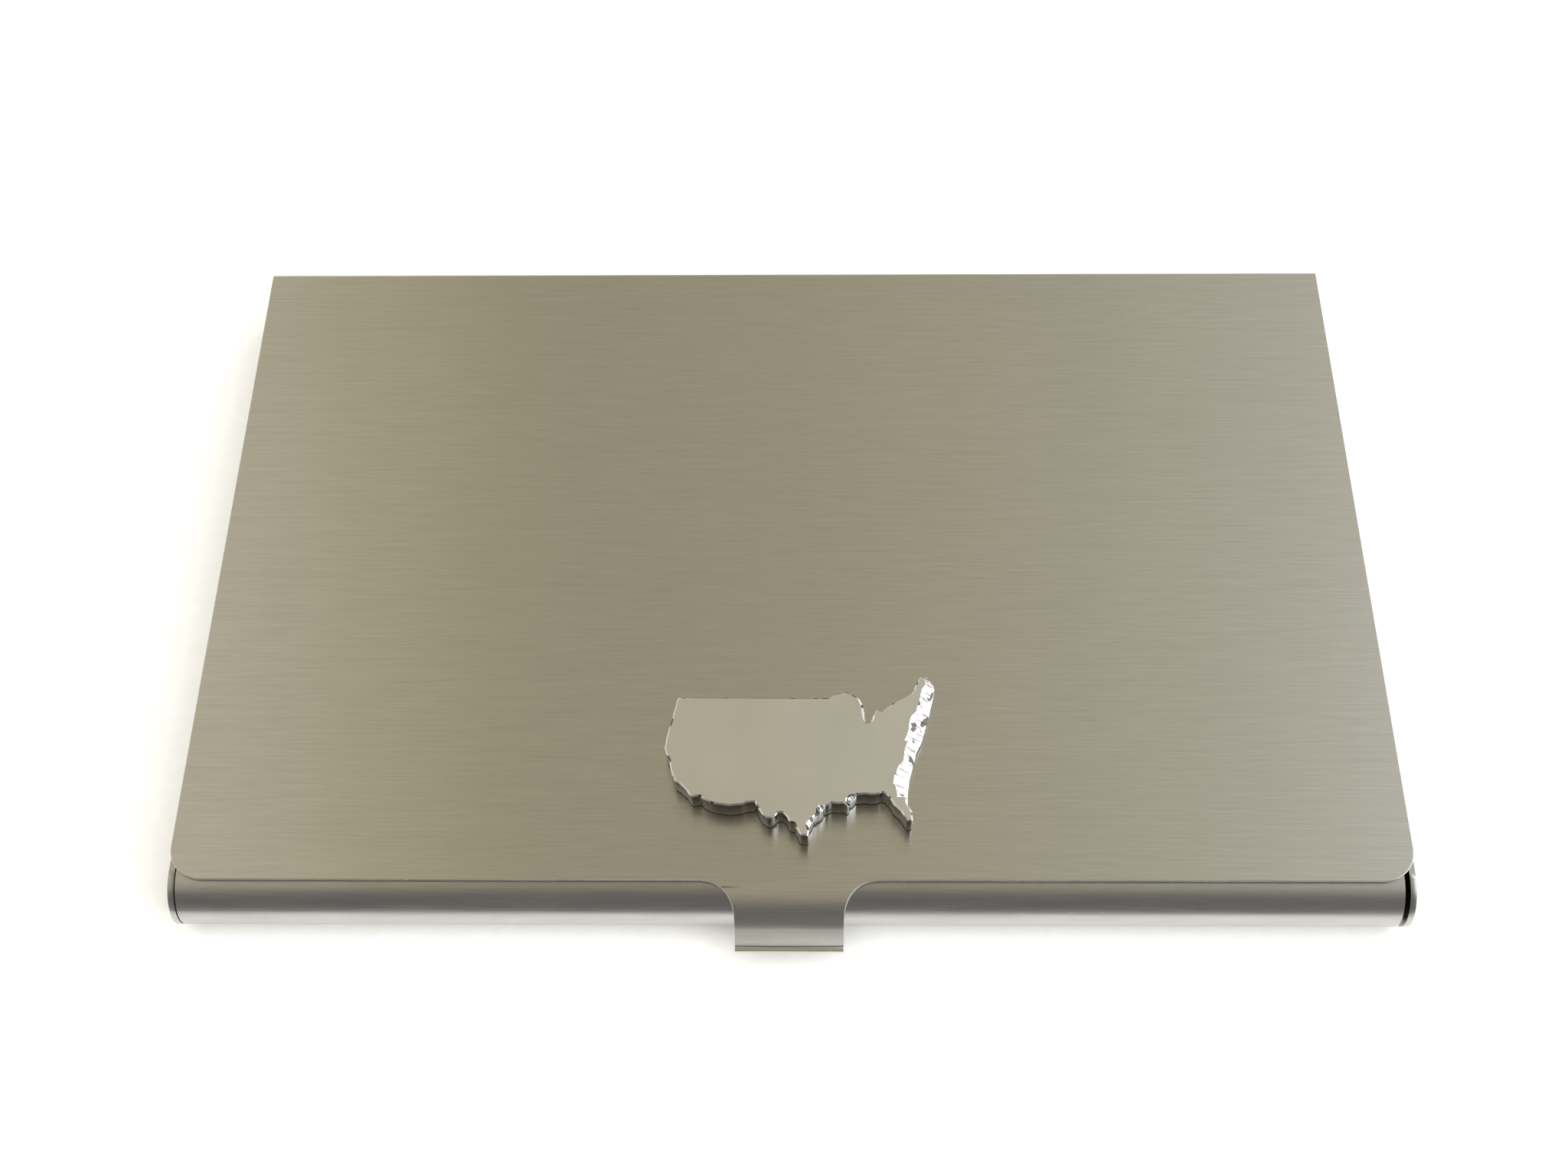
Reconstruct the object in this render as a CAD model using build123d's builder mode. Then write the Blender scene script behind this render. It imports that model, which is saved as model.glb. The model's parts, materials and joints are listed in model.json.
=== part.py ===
from build123d import *
import math
import os

# A flat all-metal business card case: a folded sheet tray, a one-piece hinged lid with a
# curled finger tongue, a wire hinge pin, a card spring and a cast map glued on the lid.
# Millimetres. X runs along the long side, -Y is the front, +Z is up.
# The origin is in the middle of the footprint, on the table.

# ---- overall sizes ----
case_width = 93.0
lid_depth = 57.0
closed_height = 6.5
sheet = 0.45
lid_gap = 0.10

# ---- hinge ----
pin_radius = 0.5
pin_clearance = 0.05
pin_height = 2.4
hinge_inset = 3.5
base_knuckle = 14.0
knuckle_gap = 0.15
knuckle_air = 0.235
roll_sweep = 285.0

# ---- front bead and side cheeks ----
bead_setback = 0.85
bead_overrun = 20.0
bead_gap_left = 0.10
bead_gap_right = 0.40
cheek_bend = 0.425
cheek_rear_gap = 0.30
lip_bend = 0.6

# ---- lid ----
front_corner = 2.6
spine_bend = 0.3
tongue_width = 8.2
tongue_root = 2.6
curl_ease = 0.075
curl_forward = 0.85
curl_sweep = 64.0
tongue_drop = 1.7
flare_bend = 0.4
flare_sweep = 58.0
flare_length = 0.25

# ---- card spring ----
spring_inset = 16.5
spring_sheet = 0.3
spring_foot = 6.0
spring_air = 0.3
spring_bend = 0.6
leaf_slope = 10.0
leaf_length = 2.5
leaf_lip = 0.8

# ---- cast map and its glue ----
map_thickness = 1.85
map_edge = 0.22
glue_thickness = 0.15
glue_inset = 0.3

# ---- places that follow from the sizes ----
mid = sheet / 2
half_width = case_width / 2
lid_under = closed_height - sheet
tray_top = lid_under - lid_gap
bead_outer = tray_top / 2
bead_mean = bead_outer - mid
curl_mean = bead_outer + curl_ease + mid
curl_turn = math.radians(curl_sweep)
lip_turn = math.radians(curl_sweep - flare_sweep)
tongue_reach = (
    curl_forward
    - bead_setback
    + (curl_mean + flare_bend) * math.sin(curl_turn)
    + tongue_drop * math.cos(curl_turn)
    - (flare_bend - mid) * math.sin(lip_turn)
    + flare_length * math.cos(lip_turn)
)
rear_face = (lid_depth + tongue_reach) / 2
lid_front = rear_face - lid_depth
bead_y = lid_front + bead_setback
base_roll = pin_radius + mid
lid_roll = pin_radius + pin_clearance + mid
pin_y = rear_face - lid_roll - mid
upstand_y = pin_y - base_roll
spine_y = rear_face - mid
hinge_length = case_width - 2 * hinge_inset
lid_knuckle = (hinge_length - 3 * base_knuckle) / 2
spring_length = case_width - 2 * spring_inset
spring_top = lid_under - spring_air - spring_sheet / 2
notch_drop = math.sqrt((pin_radius + sheet + knuckle_air) ** 2 - (pin_radius + pin_clearance) ** 2)


def knuckle_spans(for_lid):
    """Start and end of each knuckle along X, for the lid or for the tray."""
    spans = []
    start = -hinge_length / 2
    for index in range(5):
        is_lid = index % 2 == 1
        length = lid_knuckle if is_lid else base_knuckle
        if is_lid == for_lid:
            spans.append((start + knuckle_gap / 2, start + length - knuckle_gap / 2))
        start += length
    return spans


# ================= tray =================
with BuildPart() as base_tray:
    # floor with both cheeks bent up from it
    with BuildSketch(Plane.XZ.offset(-bead_y)):
        with BuildLine():
            cheek_x = half_width - mid
            bend_x = cheek_x - cheek_bend
            Line((-cheek_x, tray_top), (-cheek_x, mid + cheek_bend))
            CenterArc((-bend_x, mid + cheek_bend), cheek_bend, 180, 90)
            Line((-bend_x, mid), (bend_x, mid))
            CenterArc((bend_x, mid + cheek_bend), cheek_bend, 270, 90)
            Line((cheek_x, mid + cheek_bend), (cheek_x, tray_top))
        trace(line_width=sheet)
    extrude(amount=-(upstand_y - lip_bend - bead_y))

    # full side outline of a cheek: round at the front like the bead, square at the rear
    for side in (-1, 1):
        with BuildSketch(Plane.YZ.offset(side * (half_width - mid))):
            with BuildLine():
                cheek_rear = rear_face - sheet - cheek_rear_gap
                CenterArc((bead_y, bead_outer), bead_outer, 90, 180)
                Line((bead_y, 0), (bead_y, mid + cheek_bend))
                Line((bead_y, mid + cheek_bend), (cheek_rear, mid + cheek_bend))
                Line((cheek_rear, mid + cheek_bend), (cheek_rear, tray_top - 0.8))
                Line((cheek_rear, tray_top - 0.8), (cheek_rear - 0.8, tray_top))
                Line((cheek_rear - 0.8, tray_top), (bead_y, tray_top))
            make_face()
        extrude(amount=mid, both=True)

    # front bead rolled forward and up from the floor
    with BuildSketch(Plane.YZ.offset(-half_width + sheet + bead_gap_left)):
        with BuildLine():
            CenterArc((bead_y, bead_outer), bead_mean, 270, -180 - bead_overrun)
        trace(line_width=sheet)
    extrude(amount=case_width - 2 * sheet - bead_gap_left - bead_gap_right)

    # rear lip turned up from the floor, low enough to pass under the lid's knuckles
    with BuildSketch(Plane.YZ):
        with BuildLine():
            CenterArc((upstand_y - lip_bend, mid + lip_bend), lip_bend, 270, 90)
            Line((upstand_y, mid + lip_bend), (upstand_y, pin_height - notch_drop))
        trace(line_width=sheet)
    extrude(amount=bend_x, both=True)

    # three knuckles rolled rearward over the pin
    for start, end in knuckle_spans(False):
        with BuildSketch(Plane.YZ.offset(start)):
            with BuildLine():
                Line((upstand_y, pin_height - notch_drop), (upstand_y, pin_height))
                CenterArc((pin_y, pin_height), base_roll, 180, -roll_sweep)
            trace(line_width=sheet)
        extrude(amount=end - start)

# ================= lid =================
# finger tongue: a strip curled down in front of the bead, straight for a little, then
# turned outward into a narrow lip for the fingertip
with BuildPart() as tongue:
    with BuildSketch(Plane.YZ):
        with BuildLine():
            curl_y = bead_y - curl_forward
            curl_z = closed_height - mid - curl_mean
            Line((lid_front + 1.0, closed_height - mid), (curl_y, closed_height - mid))
            curl = CenterArc((curl_y, curl_z), curl_mean, 90, curl_sweep)
            Line(curl @ 1, curl @ 1 + (curl % 1) * tongue_drop)
            flare_off = curl_mean + flare_bend
            flare_y = curl_y - flare_off * math.sin(curl_turn) - tongue_drop * math.cos(curl_turn)
            flare_z = curl_z + flare_off * math.cos(curl_turn) - tongue_drop * math.sin(curl_turn)
            flare = CenterArc((flare_y, flare_z), flare_bend, curl_sweep - 90, -flare_sweep)
            Line(flare @ 1, flare @ 1 + (flare % 1) * flare_length)
        trace(line_width=sheet)
    extrude(amount=tongue_width / 2 + tongue_root, both=True)
    # outline seen from above, flared where it leaves the lid
    with BuildSketch(Plane.XY):
        with BuildLine():
            half_tongue = tongue_width / 2
            root_x = half_tongue + tongue_root
            tip_y = lid_front - tongue_reach - 1.0
            Line((-root_x, lid_front), (-root_x, lid_front + 1.0))
            Line((-root_x, lid_front + 1.0), (root_x, lid_front + 1.0))
            Line((root_x, lid_front + 1.0), (root_x, lid_front))
            CenterArc((root_x, lid_front - tongue_root), tongue_root, 90, 90)
            Line((half_tongue, lid_front - tongue_root), (half_tongue, tip_y))
            Line((half_tongue, tip_y), (-half_tongue, tip_y))
            Line((-half_tongue, tip_y), (-half_tongue, lid_front - tongue_root))
            CenterArc((-root_x, lid_front - tongue_root), tongue_root, 0, 90)
        make_face()
    extrude(amount=closed_height, mode=Mode.INTERSECT)

with BuildPart() as lid:
    # flat top and the short spine bent down behind it
    with BuildSketch(Plane.YZ):
        with BuildLine():
            top_mid = closed_height - mid
            Line((lid_front, top_mid), (spine_y - spine_bend, top_mid))
            CenterArc((spine_y - spine_bend, top_mid - spine_bend), spine_bend, 90, -90)
            Line((spine_y, top_mid - spine_bend), (spine_y, pin_height + notch_drop))
        trace(line_width=sheet)
    extrude(amount=half_width, both=True)
    fillet(lid.edges().filter_by(Axis.Z).group_by(Axis.Y)[0], front_corner)

    # two knuckles rolled forward under the pin
    for start, end in knuckle_spans(True):
        with BuildSketch(Plane.YZ.offset(start)):
            with BuildLine():
                Line((spine_y, pin_height + 2.0), (spine_y, pin_height))
                CenterArc((pin_y, pin_height), lid_roll, 0, -roll_sweep)
            trace(line_width=sheet)
        extrude(amount=end - start)
    add(tongue.part)

# ================= hinge pin =================
with BuildPart() as hinge_pin:
    with BuildSketch(Plane.YZ.offset(-hinge_length / 2)):
        with Locations((pin_y, pin_height)):
            Circle(pin_radius)
    extrude(amount=hinge_length)
    chamfer(hinge_pin.edges(), 0.12)

# ================= card spring =================
with BuildPart() as card_spring:
    # foot on the floor, back leg, and a top leaf that leans down over the cards
    with BuildSketch(Plane.YZ):
        with BuildLine():
            leg_y = upstand_y - mid - spring_bend - 0.3
            foot_z = sheet + spring_sheet / 2
            Line((leg_y - spring_foot, foot_z), (leg_y - spring_bend, foot_z))
            CenterArc((leg_y - spring_bend, foot_z + spring_bend), spring_bend, 270, 90)
            Line((leg_y, foot_z + spring_bend), (leg_y, spring_top - spring_bend))
            turn_over = CenterArc(
                (leg_y - spring_bend, spring_top - spring_bend), spring_bend, 0, 90 + leaf_slope
            )
            leaf = Line(turn_over @ 1, turn_over @ 1 + (turn_over % 1) * leaf_length)
            Line(leaf @ 1, leaf @ 1 + (-leaf_lip, leaf_lip / 5))
        trace(line_width=spring_sheet)
    extrude(amount=spring_length / 2, both=True)
    # spot weld dimples in the foot
    with BuildSketch(Plane.XY.offset(sheet + spring_sheet)):
        with GridLocations(spring_length / 4, 1, 4, 1):
            with Locations((0, leg_y - spring_foot + 2.4)):
                Circle(0.6)
    extrude(amount=-0.1, mode=Mode.SUBTRACT)

# ================= cast map on the lid =================
# outline of the forty-eight states, in millimetres from the middle of the lid's front
# edge, drawn from the north-west corner down the west coast and round to the east
map_points = [
    (-8.6, 14.0), (-8.9, 12.8), (-9.2, 11.4), (-9.5, 9.8), (-9.1, 8.8), (-8.9, 7.8),
    (-8.6, 7.1), (-8.0, 6.7), (-7.5, 6.0), (-7.2, 5.8), (-6.7, 5.9), (-6.2, 5.5),
    (-5.4, 5.2), (-4.5, 5.1), (-3.6, 5.2), (-3.1, 5.4), (-2.6, 5.4), (-2.3, 4.9),
    (-2.0, 4.4), (-1.6, 4.1), (-1.2, 4.2), (-0.9, 4.5), (-0.5, 4.6), (-0.2, 4.3),
    (0.0, 3.9), (0.4, 3.7), (0.6, 3.2), (0.9, 2.8), (1.4, 2.7), (1.5, 3.5),
    (1.8, 4.2), (2.3, 4.6), (2.7, 5.1), (3.2, 5.3), (4.0, 5.3), (4.4, 5.1),
    (4.6, 5.6), (5.0, 6.0), (5.7, 6.1), (6.5, 6.0), (7.0, 6.2), (7.5, 5.8),
    (7.8, 5.2), (8.3, 4.7), (8.8, 3.9), (9.2, 4.0), (9.2, 4.7), (8.9, 5.4),
    (8.9, 6.2), (9.1, 7.6), (9.4, 8.7), (9.7, 9.9), (10.1, 10.8), (10.4, 11.8),
    (10.7, 12.9), (11.0, 14.1), (11.2, 15.2), (11.0, 15.8), (10.1, 15.8), (9.7, 15.2),
    (9.6, 14.7), (9.0, 14.2), (7.9, 13.6), (7.1, 12.9), (6.6, 13.1), (6.2, 12.0),
    (5.8, 12.0), (5.7, 13.1), (5.3, 14.0), (4.3, 14.6), (3.4, 14.3), (2.9, 14.0),
]
with BuildPart() as map_ornament:
    with BuildSketch(Plane.XY.offset(closed_height + glue_thickness)):
        with BuildLine():
            Polyline([(x, y + lid_front) for x, y in map_points], close=True)
        make_face()
    extrude(amount=map_thickness)
    chamfer(map_ornament.faces().sort_by(Axis.Z)[-1].edges(), map_edge)

with BuildPart() as ornament_adhesive:
    with BuildSketch(Plane.XY.offset(closed_height)):
        with BuildLine():
            Polyline([(x, y + lid_front) for x, y in map_points], close=True)
        make_face()
        offset(amount=-glue_inset, kind=Kind.INTERSECTION)
    extrude(amount=glue_thickness)

# ================= files =================
os.makedirs("parts", exist_ok=True)
pieces = {
    "base_tray": base_tray,
    "lid": lid,
    "hinge_pin": hinge_pin,
    "card_spring": card_spring,
    "map_ornament": map_ornament,
    "ornament_adhesive": ornament_adhesive,
}
for piece_name, piece in pieces.items():
    piece.part.label = piece_name
    export_step(piece.part, "parts/" + piece_name + ".step")
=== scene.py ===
import bmesh
import bpy
import json
import math
from mathutils import Matrix, Vector, geometry

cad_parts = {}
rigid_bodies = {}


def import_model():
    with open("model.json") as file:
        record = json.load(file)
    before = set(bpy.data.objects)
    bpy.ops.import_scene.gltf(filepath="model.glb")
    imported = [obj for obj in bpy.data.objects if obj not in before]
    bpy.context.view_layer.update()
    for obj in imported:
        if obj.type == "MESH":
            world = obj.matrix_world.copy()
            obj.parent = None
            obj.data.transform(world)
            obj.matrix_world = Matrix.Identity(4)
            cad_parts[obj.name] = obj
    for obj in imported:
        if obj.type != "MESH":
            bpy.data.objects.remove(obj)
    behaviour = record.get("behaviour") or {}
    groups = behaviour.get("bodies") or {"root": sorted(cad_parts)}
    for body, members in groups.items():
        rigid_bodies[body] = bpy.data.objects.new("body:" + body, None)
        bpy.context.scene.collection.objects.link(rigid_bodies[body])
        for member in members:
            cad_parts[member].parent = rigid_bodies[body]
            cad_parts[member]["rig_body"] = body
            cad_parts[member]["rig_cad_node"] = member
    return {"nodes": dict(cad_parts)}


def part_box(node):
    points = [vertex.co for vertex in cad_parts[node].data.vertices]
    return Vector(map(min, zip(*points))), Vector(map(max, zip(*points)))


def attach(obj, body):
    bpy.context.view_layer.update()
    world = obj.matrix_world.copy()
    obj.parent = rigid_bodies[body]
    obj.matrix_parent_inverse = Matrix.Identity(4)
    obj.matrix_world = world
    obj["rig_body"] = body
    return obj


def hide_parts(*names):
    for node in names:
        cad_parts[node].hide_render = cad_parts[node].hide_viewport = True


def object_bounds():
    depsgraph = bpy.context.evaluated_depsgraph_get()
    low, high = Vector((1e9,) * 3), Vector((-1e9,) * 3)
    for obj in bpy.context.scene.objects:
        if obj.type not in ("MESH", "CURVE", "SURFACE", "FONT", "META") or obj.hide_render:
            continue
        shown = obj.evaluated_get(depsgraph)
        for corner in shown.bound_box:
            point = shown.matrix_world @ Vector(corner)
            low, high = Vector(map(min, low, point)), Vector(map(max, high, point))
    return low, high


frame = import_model()
cadLow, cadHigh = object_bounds()
mm = 0.001

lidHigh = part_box("lid")[1]
mapLow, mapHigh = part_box("map_ornament")
lidDepth = 57 * mm
lidFront = lidHigh.y - lidDepth  # straight front edge of the lid, behind the tongue
print("frame loaded:", sorted(frame["nodes"]))


# selection helpers

def deselectAll():
    for thing in bpy.context.selected_objects:
        thing.select_set(False)


def makeActive(piece):
    deselectAll()
    piece.select_set(True)
    bpy.context.view_layer.objects.active = piece


def copyOfNode(node, name):
    # a free copy of a CAD piece, to be worked on
    makeActive(frame["nodes"][node])
    bpy.ops.object.duplicate()
    piece = bpy.context.view_layer.objects.active
    piece.name = name
    piece.data.name = name
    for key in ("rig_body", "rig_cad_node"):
        if key in piece:
            del piece[key]
    piece.parent = None
    makeActive(piece)
    return piece


def pick(piece, kind, wanted):
    # edit mode must be on; kind is VERT, EDGE or FACE, and wanted says yes or no to each one
    bpy.ops.mesh.select_all(action="DESELECT")
    bpy.ops.mesh.select_mode(type=kind)
    mesh = bmesh.from_edit_mesh(piece.data)
    for part in {"VERT": mesh.verts, "EDGE": mesh.edges, "FACE": mesh.faces}[kind]:
        if wanted(part):
            part.select_set(True)
    mesh.select_flush_mode()
    bmesh.update_edit_mesh(piece.data)


def applyModifier(piece, name, kind, **settings):
    modifier = piece.modifiers.new(name, kind)
    for key, value in settings.items():
        setattr(modifier, key, value)
    makeActive(piece)
    bpy.ops.object.modifier_apply(modifier=name)


# node helpers

def addNode(tree, kind, place, **settings):
    node = tree.nodes.new(kind)
    node.location = place
    for name, value in settings.items():
        if hasattr(node, name):
            setattr(node, name, value)
        else:
            node.inputs[name.replace("_", " ").title()].default_value = value
    return node


def newMaterial(name):
    material = bpy.data.materials.new(name)
    material.use_nodes = True
    tree = material.node_tree
    tree.nodes.clear()
    output = addNode(tree, "ShaderNodeOutputMaterial", (900, 0))
    shader = addNode(tree, "ShaderNodeBsdfPrincipled", (600, 0))
    tree.links.new(shader.outputs["BSDF"], output.inputs["Surface"])
    return material, tree, shader


def rampStops(ramp, stops):
    # stops in rising order; the ramp keeps its two ends and gets the rest between them
    ramp.elements[0].position = stops[0][0]
    ramp.elements[1].position = stops[-1][0]
    for place, _ in stops[1:-1]:
        ramp.elements.new(place)
    for element, (_, colour) in zip(ramp.elements, stops):
        element.color = (*colour, 1)


def mottle(tree, look, scale, detail):
    # soft cloudy change between the look's dark and light tone
    coords = addNode(tree, "ShaderNodeTexCoord", (-1200, 0))
    noise = addNode(tree, "ShaderNodeTexNoise", (-900, 0))
    noise.inputs["Scale"].default_value = scale
    noise.inputs["Detail"].default_value = detail
    tone = addNode(tree, "ShaderNodeValToRGB", (-500, 200))
    rampStops(tone.color_ramp, [(0.3, look["dark"]), (0.7, look["light"])])
    tree.links.new(coords.outputs["Object"], noise.inputs["Vector"])
    tree.links.new(noise.outputs["Fac"], tone.inputs["Fac"])
    return coords, noise, tone


# brushed sheet steel: fine grain along X, faint tone drift, gloss drawn out across the grain

def brushedSteel(name, look):
    material, tree, shader = newMaterial(name)
    link = tree.links.new
    coords = addNode(tree, "ShaderNodeTexCoord", (-1500, 0))

    def grain(place, stretch, detail, rough):
        # noise squeezed across the rolling direction so that it reads as lines along X
        mapping = addNode(tree, "ShaderNodeMapping", (-1250, place))
        mapping.inputs["Scale"].default_value = stretch
        noise = addNode(tree, "ShaderNodeTexNoise", (-1000, place))
        noise.inputs["Scale"].default_value = 1
        noise.inputs["Detail"].default_value = detail
        noise.inputs["Roughness"].default_value = rough
        link(coords.outputs["Object"], mapping.inputs["Vector"])
        link(mapping.outputs["Vector"], noise.inputs["Vector"])
        return noise

    across = look["grainPerMetre"]
    along = across * look["grainShort"]
    wide = across * look["broadShare"]
    fine = grain(400, (along, across, across), detail=6, rough=0.65)
    broad = grain(100, (along / 2, wide, wide), detail=4, rough=0.6)
    cloud = grain(-200, look["cloudPerMetre"], detail=3, rough=0.5)

    # tone: drift in patches, then lines
    tone = addNode(tree, "ShaderNodeValToRGB", (-700, 100))
    rampStops(tone.color_ramp, [(look["toneFrom"], look["dark"]), (look["toneTo"], look["light"])])
    blend = addNode(tree, "ShaderNodeMix", (-820, 250))
    blend.data_type = "FLOAT"
    blend.inputs["Factor"].default_value = look["drift"]
    link(fine.outputs["Fac"], blend.inputs["A"])
    link(cloud.outputs["Fac"], blend.inputs["B"])
    link(blend.outputs["Result"], tone.inputs["Fac"])
    link(tone.outputs["Color"], shader.inputs["Base Color"])

    # gloss varies with the broad lines
    gloss = addNode(tree, "ShaderNodeMapRange", (-400, -100))
    gloss.inputs["From Min"].default_value = look["glossFrom"]
    gloss.inputs["From Max"].default_value = look["glossTo"]
    gloss.inputs["To Min"].default_value = look["roughLow"]
    gloss.inputs["To Max"].default_value = look["roughHigh"]
    link(broad.outputs["Fac"], gloss.inputs["Value"])
    link(gloss.outputs["Result"], shader.inputs["Roughness"])

    # relief of the grain
    height = addNode(tree, "ShaderNodeMix", (-400, -350))
    height.data_type = "FLOAT"
    height.inputs["Factor"].default_value = look["broadRelief"]
    link(fine.outputs["Fac"], height.inputs["A"])
    link(broad.outputs["Fac"], height.inputs["B"])
    bump = addNode(tree, "ShaderNodeBump", (0, -350))
    bump.inputs["Strength"].default_value = look["bump"]
    bump.inputs["Distance"].default_value = look["bumpDepth"]
    link(height.outputs["Result"], bump.inputs["Height"])
    link(bump.outputs["Normal"], shader.inputs["Normal"])

    # grooves run along X, so the gloss is drawn out across them
    tangent = addNode(tree, "ShaderNodeCombineXYZ", (0, -600))
    tangent.inputs["X"].default_value = 1
    link(tangent.outputs["Vector"], shader.inputs["Tangent"])
    shader.inputs["Anisotropic"].default_value = look["anisotropic"]
    shader.inputs["Anisotropic Rotation"].default_value = look["glossTurn"]
    shader.inputs["Metallic"].default_value = 1
    return material


lidSteelLook = {
    "grainPerMetre": 9000,
    "grainShort": 0.03,
    "broadShare": 0.16,
    "broadRelief": 0.3,
    "cloudPerMetre": (60, 45, 45),
    "drift": 0.12,
    "toneFrom": 0.25,
    "toneTo": 0.75,
    "dark": (0.55, 0.54, 0.515),
    "light": (0.67, 0.66, 0.63),
    "glossFrom": 0.3,
    "glossTo": 0.7,
    "roughLow": 0.20,
    "roughHigh": 0.28,
    "bump": 0.1,
    "bumpDepth": 0.01 * mm,
    "anisotropic": 0.85,
    "glossTurn": 0.25,  # a quarter turn, from along the grain to across it
}
lidSteel = brushedSteel("lidSteel", lidSteelLook)

trayLook = dict(lidSteelLook, dark=(0.49, 0.485, 0.47), light=(0.59, 0.585, 0.57))
traySteel = brushedSteel("traySteel", trayLook)
springLook = dict(lidSteelLook, dark=(0.42, 0.42, 0.41), light=(0.52, 0.52, 0.51))
springLook.update(roughLow=0.2, roughHigh=0.3)
springSteel = brushedSteel("springSteel", springLook)
pinLook = dict(lidSteelLook, dark=(0.5, 0.5, 0.49), light=(0.62, 0.62, 0.61), grainShort=0.01)
pinSteel = brushedSteel("pinSteel", pinLook)


# polished cast emblem

def polishedCast(name, look):
    material, tree, shader = newMaterial(name)
    link = tree.links.new
    coords, ripple, tone = mottle(tree, look, look["ripple"], detail=3)
    pores = addNode(tree, "ShaderNodeTexNoise", (-900, -300))
    pores.inputs["Scale"].default_value = look["pores"]
    pores.inputs["Detail"].default_value = 5
    link(coords.outputs["Object"], pores.inputs["Vector"])

    # painted shade: the upright cast walls are painted dark, standing in for the dark reflections they
    # show; walls facing east, toward the bright right side of the room, are left out
    upright = addNode(tree, "ShaderNodeSeparateXYZ", (-900, 500))
    link(coords.outputs["Normal"], upright.inputs["Vector"])
    slope = addNode(tree, "ShaderNodeMath", (-700, 500), operation="ABSOLUTE")
    link(upright.outputs["Z"], slope.inputs[0])
    wallShade = addNode(tree, "ShaderNodeMapRange", (-500, 500))
    wallShade.inputs["From Min"].default_value = look["unshadedSlope"]
    wallShade.inputs["From Max"].default_value = look["shadedSlope"]
    link(slope.outputs["Value"], wallShade.inputs["Value"])
    eastward = addNode(tree, "ShaderNodeMapRange", (-500, 750))
    eastward.inputs["From Min"].default_value = look["unshadedEast"]
    eastward.inputs["From Max"].default_value = look["shadedEast"]
    link(upright.outputs["X"], eastward.inputs["Value"])
    facingShade = addNode(tree, "ShaderNodeMath", (-300, 600), operation="MULTIPLY")
    link(wallShade.outputs["Result"], facingShade.inputs[0])
    link(eastward.outputs["Result"], facingShade.inputs[1])

    # painted shade too: random dark spots on the sloped faces, standing in for dark reflections in small
    # dents
    shadeSpots = addNode(tree, "ShaderNodeTexNoise", (-900, 1000))
    shadeSpots.inputs["Scale"].default_value = look["shadeSpots"]
    shadeSpots.inputs["Detail"].default_value = 1
    link(coords.outputs["Object"], shadeSpots.inputs["Vector"])
    spotShade = addNode(tree, "ShaderNodeMapRange", (-700, 1000))
    spotShade.inputs["From Min"].default_value = look["spotFrom"]
    spotShade.inputs["From Max"].default_value = look["spotFull"]
    spotShade.inputs["To Max"].default_value = look["spotShadeMax"]
    link(shadeSpots.outputs["Fac"], spotShade.inputs["Value"])
    sloped = addNode(tree, "ShaderNodeMapRange", (-500, 900))
    sloped.inputs["From Min"].default_value = look["levelFace"]
    sloped.inputs["From Max"].default_value = look["spottedSlope"]
    link(slope.outputs["Value"], sloped.inputs["Value"])
    slopeSpotShade = addNode(tree, "ShaderNodeMath", (-300, 900), operation="MULTIPLY")
    link(spotShade.outputs["Result"], slopeSpotShade.inputs[0])
    link(sloped.outputs["Result"], slopeSpotShade.inputs[1])
    shadeMask = addNode(tree, "ShaderNodeMath", (-200, 700), operation="MAXIMUM")
    link(facingShade.outputs["Value"], shadeMask.inputs[0])
    link(slopeSpotShade.outputs["Value"], shadeMask.inputs[1])
    # painted shade: the dark colour is mixed in wherever the wall and spot masks ask for it
    paintedShade = addNode(tree, "ShaderNodeMix", (-200, 300), data_type="RGBA")
    paintedShade.inputs["B"].default_value = (*look["paintedShade"], 1)
    link(shadeMask.outputs["Value"], paintedShade.inputs["Factor"])
    link(tone.outputs["Color"], paintedShade.inputs["A"])
    link(paintedShade.outputs["Result"], shader.inputs["Base Color"])

    # fine pores dull the polish a little, and slow ripples bend it
    gloss = addNode(tree, "ShaderNodeMapRange", (-500, -100))
    gloss.inputs["From Min"].default_value = look["poresFrom"]
    gloss.inputs["From Max"].default_value = look["poresTo"]
    gloss.inputs["To Min"].default_value = look["roughLow"]
    gloss.inputs["To Max"].default_value = look["roughHigh"]
    link(pores.outputs["Fac"], gloss.inputs["Value"])
    link(gloss.outputs["Result"], shader.inputs["Roughness"])
    bump = addNode(tree, "ShaderNodeBump", (0, -300))
    bump.inputs["Strength"].default_value = look["bump"]
    bump.inputs["Distance"].default_value = look["bumpDepth"]
    link(ripple.outputs["Fac"], bump.inputs["Height"])
    link(bump.outputs["Normal"], shader.inputs["Normal"])
    shader.inputs["Metallic"].default_value = 1
    return material


mapLook = {
    "ripple": 260,
    "pores": 2400,
    "poresFrom": 0.35,
    "poresTo": 0.75,
    "dark": (0.83, 0.84, 0.86),
    "light": (0.87, 0.88, 0.90),
    # painted shade: the dark colour put on the upright walls and on random spots of the slopes
    "paintedShade": (0.11, 0.10, 0.085),
    "unshadedSlope": 0.45,
    "shadedSlope": 0.1,
    "unshadedEast": 0.6,
    "shadedEast": 0.4,
    "levelFace": 0.98,
    "spottedSlope": 0.92,
    # painted shade spots on the slopes: their size, threshold and darkness
    "shadeSpots": 1300,
    "spotFrom": 0.58,
    "spotFull": 0.63,
    "spotShadeMax": 0.93,
    "roughLow": 0.08,
    "roughHigh": 0.15,
    "bump": 0.12,
    "bumpDepth": 0.1 * mm,
}
mapMetal = polishedCast("mapMetal", mapLook)


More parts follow.
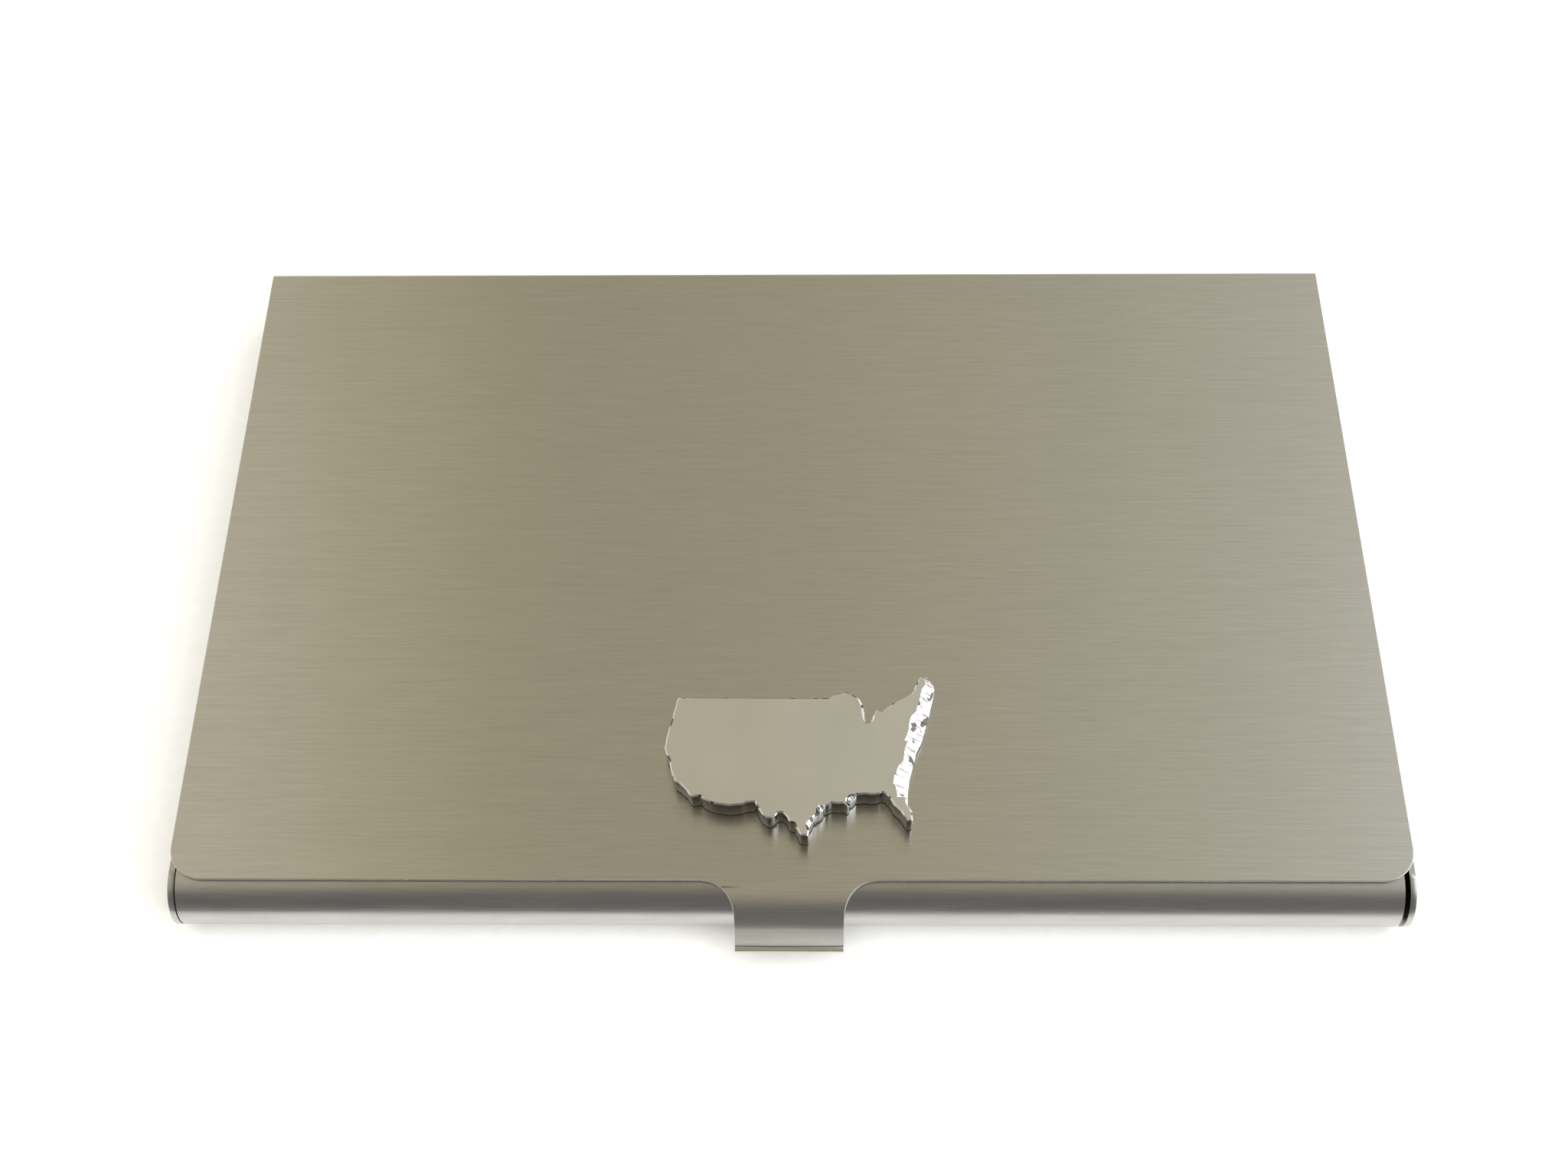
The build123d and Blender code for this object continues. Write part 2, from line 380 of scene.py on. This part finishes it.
def dullFinish(name, look):
    # one roughness all over, as on the glue film, the studio's floor and the painted-shadow sheet
    material, tree, shader = newMaterial(name)
    tone = mottle(tree, look, look["mottle"], look["detail"])[2]
    tree.links.new(tone.outputs["Color"], shader.inputs["Base Color"])
    shader.inputs["Roughness"].default_value = look["rough"]
    shader.inputs["Specular IOR Level"].default_value = look["specular"]
    return material


glueLook = {
    "mottle": 900,
    "detail": 4,
    "dark": (0.13, 0.12, 0.10),
    "light": (0.2, 0.185, 0.155),
    "rough": 0.25,
    "specular": 0.5,
}
glueFilm = dullFinish("glueFilm", glueLook)
print("materials made")

flatWeight = 80  # how much a big face counts for the normals at its rim


# a CAD sheet with its stamped edges softened

def softenedSheet(node, name, body, material, look):
    piece = copyOfNode(node, name)
    bpy.ops.object.mode_set(mode="EDIT")
    bpy.ops.mesh.select_all(action="SELECT")
    bpy.ops.mesh.remove_doubles(threshold=look["weld"])
    bpy.ops.mesh.dissolve_limited(angle_limit=look["flat"])
    pick(piece, "EDGE", lambda edge: edge.is_manifold and edge.calc_face_angle(0) > look["sharp"])
    bpy.ops.mesh.bevel(offset=look["soften"], segments=2, profile=0.5, clamp_overlap=True)
    bpy.ops.mesh.select_all(action="SELECT")
    bpy.ops.mesh.normals_make_consistent(inside=False)
    bpy.ops.object.mode_set(mode="OBJECT")
    bpy.ops.object.shade_smooth_by_angle(angle=look["smooth"])
    # big flat faces keep their own normal, the narrow bends and edges take the turn
    applyModifier(piece, "flatFaces", "WEIGHTED_NORMAL", keep_sharp=True, weight=flatWeight)
    piece.data.materials.clear()
    piece.data.materials.append(material)
    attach(piece, body)
    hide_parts(node)


sheetEdges = {
    "weld": 0.002 * mm,
    "flat": math.radians(0.4),
    "sharp": math.radians(35),
    "smooth": math.radians(40),
    "soften": 0.07 * mm,
}
softenedSheet("lid", "lidSheet", "lid", lidSteel, sheetEdges)
softenedSheet("base_tray", "traySheet", "tray", traySteel, sheetEdges)
softenedSheet("card_spring", "springStrip", "tray", springSteel, sheetEdges)
print("sheets softened")


# cast map: the CAD outline grown again with a worn coast and rounded shoulders

def castMap(look):
    piece = copyOfNode("map_ornament", "castMap")
    bottom, top = mapLow.z, mapHigh.z
    near = 0.01 * mm

    # only the flat underside is kept, as one face
    bpy.ops.object.mode_set(mode="EDIT")
    bpy.ops.mesh.select_all(action="SELECT")
    bpy.ops.mesh.remove_doubles(threshold=look["weld"])
    bpy.ops.mesh.dissolve_limited(angle_limit=look["flat"])
    pick(piece, "FACE", lambda face: face.calc_center_median().z > bottom + near)
    bpy.ops.mesh.delete(type="FACE")

    # uneven coast: cut each edge, shake the points a little, flatten, round the corners
    bpy.ops.mesh.select_all(action="SELECT")
    bpy.ops.mesh.subdivide(number_cuts=look["cuts"])
    bpy.ops.transform.vertex_random(offset=look["shake"], uniform=1, normal=0, seed=3)
    bpy.ops.transform.resize(value=(1, 1, 0), center_override=(0, 0, bottom))
    bpy.ops.mesh.bevel(offset=look["corner"], segments=2, affect="VERTICES", clamp_overlap=True)

    # up to full height, then the polished face is drawn in from the edge
    bpy.ops.mesh.select_all(action="SELECT")
    bpy.ops.mesh.extrude_region_move(TRANSFORM_OT_translate={"value": (0, 0, top - bottom)})
    pick(piece, "FACE", lambda face: face.calc_center_median().z > top - near)
    bpy.ops.mesh.inset(thickness=look["shoulder"], use_even_offset=False)
    innerSet = set(vert.index for vert in bmesh.from_edit_mesh(piece.data).verts if vert.select)

    pick(piece, "VERT", lambda vert: vert.co.z > top - near and vert.index not in innerSet)
    bpy.ops.transform.translate(value=(0, 0, -look["drop"]))

    # the coast is rubbed down into bright slopes, patch by patch
    def within(vert, patch):
        south, north, west, east = patch[:4]
        return south < (vert.co.y - lidFront) / mm <= north and west < vert.co.x / mm < east

    def onCoast(vert):
        return vert.index not in innerSet and vert.co.z > bottom + near

    for patch in look["rubbed"]:
        east, north, down = patch[4:]
        pick(piece, "VERT", lambda vert: vert.index in innerSet and within(vert, patch))
        bpy.ops.transform.translate(value=(east * mm, north * mm, 0))
        pick(piece, "VERT", lambda vert: onCoast(vert) and within(vert, patch))
        bpy.ops.transform.translate(value=(0, 0, -down * mm))

    # where the polished face's outline crosses itself the points nearby are eased apart
    def crossings():
        mesh = bmesh.from_edit_mesh(piece.data)
        onTop = [face for face in mesh.faces if face.calc_center_median().z > top - near]
        ring = list(max(onTop, key=lambda face: len(face.verts)).verts)
        count = len(ring)
        tangled = set()
        for first in range(count):
            a, b = ring[first].co, ring[(first + 1) % count].co
            for second in range(first + 2, count - (first == 0)):
                c, d = ring[second].co, ring[(second + 1) % count].co
                if not geometry.intersect_line_line_2d(a.xy, b.xy, c.xy, d.xy):
                    continue
                start, reach = first, second - first
                if reach >= count / 2:  # the short way round passes the ring's first point
                    start, reach = second, count - reach
                if reach < look["tangle"]:
                    loop = range(start - 1, start + reach + 3)
                    tangled.update(ring[step % count].index for step in loop)
        return tangled

    for attempt in range(look["easings"]):
        tangled = crossings()
        if not tangled:
            break
        pick(piece, "VERT", lambda vert: vert.index in tangled)
        bpy.ops.mesh.vertices_smooth(factor=0.5, repeat=2)
    print("map outline eased", attempt, "times")

    # small dents on the broad east slope
    bpy.ops.mesh.select_all(action="SELECT")
    bpy.ops.mesh.normals_make_consistent(inside=False)

    def onSlope(face):
        steep, flat = look["slopeNormals"]
        leansEast = face.normal.x > look["eastLean"] and steep < face.normal.z < flat
        return leansEast and face.calc_area() > look["dentFrom"]

    pick(piece, "FACE", onSlope)
    bpy.ops.mesh.subdivide(number_cuts=2, fractal=0, seed=5)
    bpy.ops.mesh.select_less()
    bpy.ops.transform.vertex_random(offset=look["rough"], uniform=1, normal=0, seed=11)

    bpy.ops.mesh.select_all(action="SELECT")
    bpy.ops.mesh.normals_make_consistent(inside=False)
    bpy.ops.object.mode_set(mode="OBJECT")
    rim = {"width": look["soften"], "segments": 3, "limit_method": "ANGLE", "angle_limit": look["sharp"]}
    applyModifier(piece, "soften", "BEVEL", **rim)
    bpy.ops.object.shade_smooth_by_angle(angle=look["smooth"])
    applyModifier(piece, "flatFaces", "WEIGHTED_NORMAL", keep_sharp=True, weight=flatWeight)
    piece.data.materials.clear()
    piece.data.materials.append(mapMetal)
    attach(piece, "lid")
    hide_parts("map_ornament")


# a rubbed patch in mm: south and north end from the lid's front edge, west and east end,
# then how far the polished face draws back (east, north) and how far the coast drops
castMap({
    "weld": 0.001 * mm,
    "flat": math.radians(0.5),
    "cuts": 1,
    "shake": 0.04 * mm,
    "corner": 0.09 * mm,
    "shoulder": 0.12 * mm,
    "drop": 0.10 * mm,
    "rubbed": [
        (4.2, 5.8, 8.6, 12, -0.10, 0, 0.3),
        (5.8, 6.6, 8.4, 12, -0.75, 0, 0.9),
        (6.6, 7.7, 8.4, 12, -1.05, 0, 1.1),
        (7.7, 8.6, 8.6, 12, -0.95, 0, 1.1),
        (8.6, 9.3, 8.8, 12, -0.70, 0, 1.0),
        (9.3, 10.4, 9.0, 12, -0.75, 0, 1.1),
        (10.4, 11.5, 9.2, 12, -1.05, 0, 1.2),
        (11.5, 12.6, 9.4, 12, -1.15, 0, 1.2),
        (12.6, 13.6, 10.2, 12, -0.90, 0, 1.2),
        (13.6, 14.8, 10.4, 12, -0.85, 0, 1.2),
        (14.8, 16.2, 10.6, 12, -0.60, 0, 0.9),
        (3.2, 4.1, 1.2, 1.75, -0.14, 0.1, 0.35),
        (4.35, 5.0, 2.0, 2.65, -0.2, 0.25, 0.3),
        (5.2, 5.9, 4.3, 4.9, -0.2, 0.15, 0.3),
        (12.25, 13.4, 5.3, 5.85, -0.12, 0, 0.45),
    ],
    "tangle": 30,
    "easings": 15,
    "eastLean": 0.35,
    "slopeNormals": (0.2, 0.95),
    "dentFrom": 0.05 * mm * mm,
    "rough": 0.05 * mm,
    "soften": 0.04 * mm,
    "sharp": math.radians(28),
    "smooth": math.radians(40),
})
print("map grown")

# the pin and the glue keep their CAD shape
for node, material in {"hinge_pin": pinSteel, "ornament_adhesive": glueFilm}.items():
    frame["nodes"][node].data.materials.clear()
    frame["nodes"][node].data.materials.append(material)


# studio: pale floor, soft room, lights, camera

def paleFloor(look):
    deselectAll()
    bpy.ops.mesh.primitive_plane_add(size=look["size"], location=(0, 0, cadLow.z - look["below"]))
    floor = bpy.context.object
    floor.name = "paleFloor"
    floor.data.materials.append(dullFinish("paleFloor", look))


# painted shadow: a dark sheet just over the floor in front, standing in for shade on the floor there;
# only gloss sees it, so the bead keeps its dark upper half

def floorShadeSheet(look):
    deselectAll()
    bpy.ops.mesh.primitive_plane_add(size=1, location=(0, 0, 0))
    shadeSheet = bpy.context.object
    shadeSheet.name = "floorShadeSheet"
    bpy.ops.object.mode_set(mode="EDIT")
    bpy.ops.transform.resize(value=(look["wide"], look["deep"], 1))
    middle = lidFront - look["ahead"] - look["deep"] / 2
    bpy.ops.transform.translate(value=(0, middle, cadLow.z + look["above"]))
    bpy.ops.object.mode_set(mode="OBJECT")
    # painted shadow: the sheet's dark colour stands in for shade on the floor in front
    shadeSheet.data.materials.append(dullFinish("floorShadeSheet", look))
    shadeSheet.visible_camera = False
    shadeSheet.visible_diffuse = False
    shadeSheet.visible_shadow = False


floorShadeLook = {
    "mottle": 300,
    "detail": 2,
    # painted shadow: dark tone of the sheet that stands in for shade on the floor in front
    "dark": (0.075, 0.073, 0.07),
    "light": (0.09, 0.088, 0.085),
    "rough": 0.95,
    "specular": 0.5,
    "wide": 0.8,
    "deep": 0.5,
    "ahead": 14.5 * mm,
    "above": 0.1 * mm,
}
floorShadeSheet(floorShadeLook)

floorLook = {
    "size": 3.0,
    "below": 0.02 * mm,
    "mottle": 900,
    "detail": 2,
    "dark": (0.90, 0.90, 0.895),
    "light": (0.93, 0.93, 0.925),
    "rough": 0.9,
    "specular": 0.2,
}
paleFloor(floorLook)


def softRoom(look):
    # ceiling tone changes a little from left to right; the room in front is darker
    world = bpy.data.worlds.new("softRoom")
    bpy.context.scene.world = world
    world.use_nodes = True
    tree = world.node_tree
    tree.nodes.clear()
    link = tree.links.new
    coords = addNode(tree, "ShaderNodeTexCoord", (-1200, 0))
    split = addNode(tree, "ShaderNodeSeparateXYZ", (-1000, 0))
    link(coords.outputs["Generated"], split.inputs["Vector"])

    side = addNode(tree, "ShaderNodeMapRange", (-750, 200))
    side.inputs["From Min"].default_value = -look["spread"]
    side.inputs["From Max"].default_value = look["spread"]
    ceiling = addNode(tree, "ShaderNodeValToRGB", (-500, 200))
    ceiling.color_ramp.interpolation = "EASE"
    rampStops(ceiling.color_ramp, look["ceiling"])
    link(split.outputs["X"], side.inputs["Value"])
    link(side.outputs["Result"], ceiling.inputs["Fac"])

    # how far a direction is towards the dim front of the room, 0 to 1
    front = addNode(tree, "ShaderNodeMapRange", (-750, -150))
    front.interpolation_type = "SMOOTHSTEP"
    front.inputs["From Min"].default_value = look["frontStart"]
    front.inputs["From Max"].default_value = look["frontEnd"]
    link(split.outputs["Y"], front.inputs["Value"])
    dim = addNode(tree, "ShaderNodeMix", (-200, 0))
    dim.data_type = "RGBA"
    dim.inputs["B"].default_value = (*look["frontColour"], 1)
    link(front.outputs["Result"], dim.inputs["Factor"])
    link(ceiling.outputs["Color"], dim.inputs["A"])

    background = addNode(tree, "ShaderNodeBackground", (200, 0))
    background.inputs["Strength"].default_value = look["strength"]
    output = addNode(tree, "ShaderNodeOutputWorld", (400, 0))
    link(dim.outputs["Result"], background.inputs["Color"])
    link(background.outputs["Background"], output.inputs["Surface"])


roomLook = {
    "spread": 1.0,
    "ceiling": [
        (0.0, (0.70, 0.663, 0.535)),
        (0.34, (0.70, 0.663, 0.535)),
        (0.385, (0.567, 0.517, 0.357)),
        (0.43, (0.46, 0.418, 0.30)),
        (0.5, (0.49, 0.451, 0.338)),
        (0.56, (0.545, 0.514, 0.396)),
        (0.625, (0.626, 0.602, 0.506)),
        (0.665, (0.73, 0.735, 0.655)),
        (0.70, (1.0, 1.0, 0.97)),
        (0.75, (1.7, 1.7, 1.7)),
        (1.0, (2.0, 2.0, 2.0)),
    ],
    "frontStart": -0.25,
    "frontEnd": -0.8,
    "frontColour": (0.19, 0.185, 0.18),
    "strength": 1.0,
}
softRoom(roomLook)


def areaLight(name, look):
    data = bpy.data.lights.new(name, "AREA")
    data.shape = "RECTANGLE"
    data.size, data.size_y = look["size"]
    data.energy = look["watts"]
    data.color = look["colour"]
    lamp = bpy.data.objects.new(name, data)
    bpy.context.scene.collection.objects.link(lamp)
    lamp.location = look["place"]
    aim = Vector(look["aim"]) - Vector(look["place"])
    lamp.rotation_euler = aim.to_track_quat("-Z", "Y").to_euler()
    lamp.visible_glossy = look["inGloss"]


lights = {
    "overhead": {
        "size": (1.6, 1.6),
        "watts": 13.5,
        "colour": (1, 1, 1),
        "place": (0, -0.35, 1.1),
        "aim": (0, 0, 0),
        "inGloss": False,
    },
    "windowRight": {
        "size": (0.3, 0.3),
        "watts": 1.6,
        "colour": (1, 1, 1),
        "place": (0.55, -0.4, 0.32),
        "aim": (0, 0, 0),
        "inGloss": False,
    },
}
for lightName, lightLook in lights.items():
    areaLight(lightName, lightLook)


def bookCamera(look):
    data = bpy.data.cameras.new("bookCamera")
    data.sensor_width = 36
    data.lens = look["lens"]
    data.clip_start = 0.005
    data.clip_end = 20
    camera = bpy.data.objects.new("bookCamera", data)
    bpy.context.scene.collection.objects.link(camera)
    yaw = Matrix.Rotation(math.radians(look["yaw"]), 4, "Z")
    tilt = Matrix.Rotation(math.radians(90 - look["down"]), 4, "X")
    roll = Matrix.Rotation(math.radians(look["roll"]), 4, "Z")
    camera.matrix_world = Matrix.Translation(look["place"]) @ yaw @ tilt @ roll
    bpy.context.scene.camera = camera


cameraLook = {
    "lens": 41.855,
    "place": Vector((1.55 * mm, lidFront - 46.49 * mm, 135.19 * mm)),
    "down": 61.02,
    "yaw": 1.68,
    "roll": -1.48,
}
bookCamera(cameraLook)
bpy.context.scene.view_settings.view_transform = "Standard"
print("studio set")
